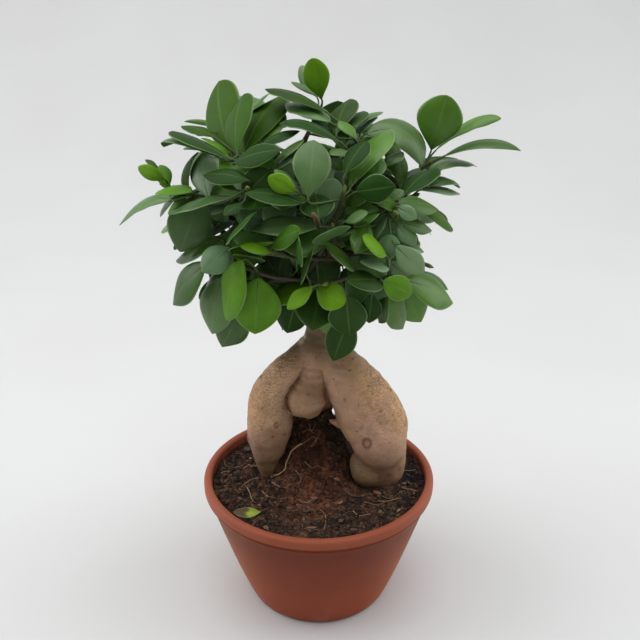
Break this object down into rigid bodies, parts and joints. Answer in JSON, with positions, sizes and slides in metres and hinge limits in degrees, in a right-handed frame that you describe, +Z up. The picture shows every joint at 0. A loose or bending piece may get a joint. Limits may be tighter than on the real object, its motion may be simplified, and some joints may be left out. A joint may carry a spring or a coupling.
{
  "type": "potted ficus ginseng bonsai",
  "caption": "Ficus ginseng bonsai: swollen pale-brown roots and a short trunk carry a dense crown of glossy oval leaves, potted in a round, tapered, terracotta-coloured bowl of peat.",
  "frame": {"origin": "centre of the bowl's underside, on the surface it stands on", "axes": "+Z up through the plant; -Y towards the front of the plant; +X to its right-hand side seen from the front"},
  "size_m": [0.2429, 0.1829, 0.385],
  "materials": {
    "terracotta_plastic": "satin",
    "peat_soil": "matte",
    "root_bark": "matte",
    "twig_bark": "matte",
    "leaf_green": "satin",
    "dry_leaf": "matte"
  },
  "bodies": {
    "root": {"pot": "terracotta_plastic", "soil": "peat_soil", "caudex": "root_bark", "fallen_leaf": "dry_leaf", "branch_left": "twig_bark", "branch_upper_left": "twig_bark", "branch_top": "twig_bark", "branch_upper_right": "twig_bark", "branch_front_right": "twig_bark", "branch_front": "twig_bark", "branch_right": "twig_bark", "branch_back": "twig_bark", "branch_back_right": "twig_bark", "branch_back_left": "twig_bark", "shoot_lower_back_left": "leaf_green", "shoot_lower_centre": "leaf_green", "shoot_lower_front_centre": "leaf_green", "shoot_lower_front_left": "leaf_green", "shoot_lower_front_right": "leaf_green", "shoot_lower_left": "leaf_green", "shoot_lower_right_a": "leaf_green", "shoot_lower_right_b": "leaf_green", "shoot_middle_back_centre": "leaf_green", "shoot_middle_back_left_a": "leaf_green", "shoot_middle_back_left_b": "leaf_green", "shoot_middle_back_right": "leaf_green", "shoot_middle_front_centre": "leaf_green", "shoot_middle_front_left_a": "leaf_green", "shoot_middle_front_left_b": "leaf_green", "shoot_middle_front_right": "leaf_green", "shoot_middle_left": "leaf_green", "shoot_middle_right_a": "leaf_green", "shoot_middle_right_b": "leaf_green", "shoot_middle_right_c": "leaf_green", "shoot_top_back_left": "leaf_green", "shoot_top_back_right": "leaf_green", "shoot_top_centre_a": "leaf_green", "shoot_top_centre_b": "leaf_green", "shoot_top_front_left": "leaf_green", "shoot_top_front_right": "leaf_green", "shoot_top_left_a": "leaf_green", "shoot_top_left_b": "leaf_green", "shoot_top_right": "leaf_green", "shoot_under_back_centre": "leaf_green", "shoot_under_left": "leaf_green", "shoot_under_right": "leaf_green", "shoot_upper_back_centre": "leaf_green", "shoot_upper_back_left": "leaf_green", "shoot_upper_back_right": "leaf_green", "shoot_upper_front_centre_a": "leaf_green", "shoot_upper_front_centre_b": "leaf_green", "shoot_upper_front_centre_c": "leaf_green", "shoot_upper_front_left_a": "leaf_green", "shoot_upper_front_left_b": "leaf_green", "shoot_upper_front_right": "leaf_green", "shoot_upper_left_a": "leaf_green", "shoot_upper_left_b": "leaf_green", "shoot_upper_left_c": "leaf_green", "shoot_upper_right": "leaf_green"}
  },
  "joints": []
}
